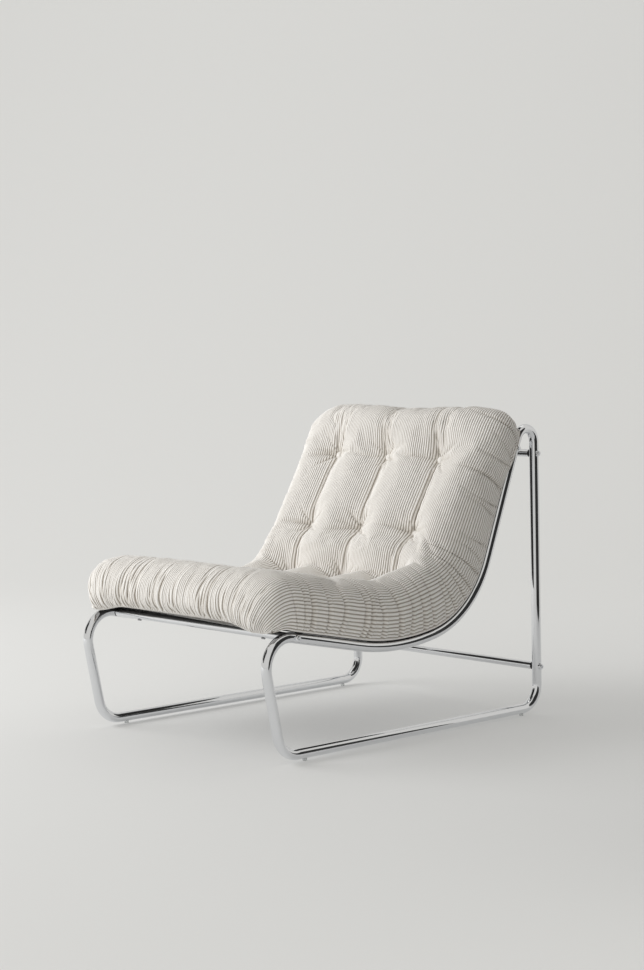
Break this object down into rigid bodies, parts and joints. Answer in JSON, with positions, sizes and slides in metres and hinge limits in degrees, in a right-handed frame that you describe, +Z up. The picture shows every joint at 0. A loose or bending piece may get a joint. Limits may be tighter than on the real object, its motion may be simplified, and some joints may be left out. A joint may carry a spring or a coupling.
{
  "type": "lounge chair",
  "caption": "Armless lounge chair: chromed tube loops at the sides joined by cross tubes, carrying one long tufted corduroy cushion for seat and back on a bent plywood shell.",
  "frame": {"origin": "middle of the chair on the floor it stands on", "axes": "+Z up, +Y to the back, the sitter faces -Y with +X on the sitter's left"},
  "size_m": [0.6182, 0.875, 0.7137],
  "materials": {
    "chrome": "polished chrome plate",
    "zinc_steel": "zinc plated",
    "black_plastic": "moulded, satin",
    "clear_plastic": "translucent grey",
    "black_plywood": "black stain, satin",
    "foam": "open-cell foam",
    "twine": "waxed",
    "corduroy": "off-white wide-wale corduroy"
  },
  "bodies": {
    "root": {"back_buttons": "black_plastic", "back_cross_tube": "chrome", "back_tube_plug_left": "zinc_steel", "back_tube_plug_right": "zinc_steel", "back_tube_saddle_left": "black_plastic", "back_tube_saddle_right": "black_plastic", "cushion_cover": "corduroy", "foam_core": "foam", "frame_screws": "chrome", "front_cross_tube": "chrome", "front_glide_left": "clear_plastic", "front_glide_right": "clear_plastic", "front_tube_plug_left": "zinc_steel", "front_tube_plug_right": "zinc_steel", "front_tube_saddle_left": "black_plastic", "front_tube_saddle_right": "black_plastic", "lower_rear_cross_tube": "chrome", "lower_rear_tube_plug_left": "zinc_steel", "lower_rear_tube_plug_right": "zinc_steel", "lower_rear_tube_saddle_left": "black_plastic", "lower_rear_tube_saddle_right": "black_plastic", "rear_glide_left": "clear_plastic", "rear_glide_right": "clear_plastic", "screw_washers": "chrome", "seat_shell": "black_plywood", "shell_screws": "zinc_steel", "shell_spacers": "black_plastic", "side_frame_left": "chrome", "side_frame_right": "chrome", "tuft_buttons": "corduroy", "tuft_twines": "twine", "upper_rear_cross_tube": "chrome", "upper_rear_tube_plug_left": "zinc_steel", "upper_rear_tube_plug_right": "zinc_steel", "upper_rear_tube_saddle_left": "black_plastic", "upper_rear_tube_saddle_right": "black_plastic"}
  },
  "joints": []
}
